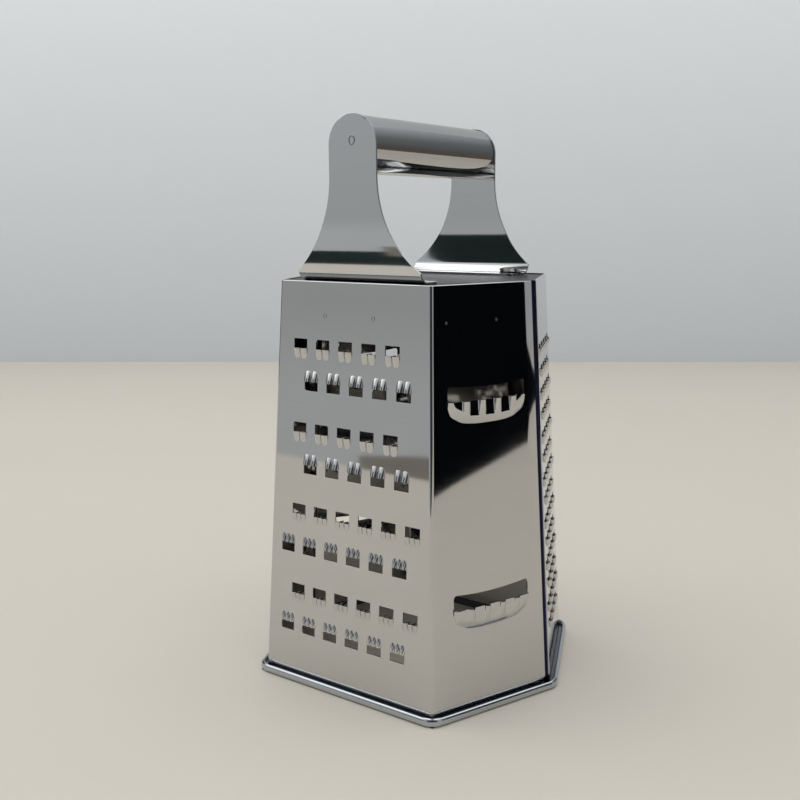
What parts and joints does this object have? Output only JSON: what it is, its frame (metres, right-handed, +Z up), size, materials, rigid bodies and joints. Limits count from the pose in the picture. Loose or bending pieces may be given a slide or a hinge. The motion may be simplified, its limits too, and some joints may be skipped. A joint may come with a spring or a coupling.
{
  "type": "box grater",
  "caption": "Tapered hexagonal kitchen grater of polished stainless sheet with punched teeth, raised slicer blades, a rolled base rim and a tube grip held between upright brackets.",
  "frame": {"origin": "on the surface it stands on, under the middle of the body", "axes": "+Z up towards the grip, -Y out of the wide shredder face, +X towards the lock seam beside the fluted slicers"},
  "size_m": [0.1332, 0.1132, 0.225],
  "materials": {
    "sheet": "mirror polished",
    "rim": "polished",
    "cap": "polished",
    "bracket": "polished",
    "grip": "mirror polished",
    "plug": "plain"
  },
  "bodies": {
    "root": {"front_shell": "sheet", "rear_shell": "sheet", "base_ring": "rim", "top_cap": "cap", "front_bracket": "bracket", "rear_bracket": "bracket", "grip_tube": "grip", "front_grip_plug": "plug", "rear_grip_plug": "plug"}
  },
  "joints": []
}
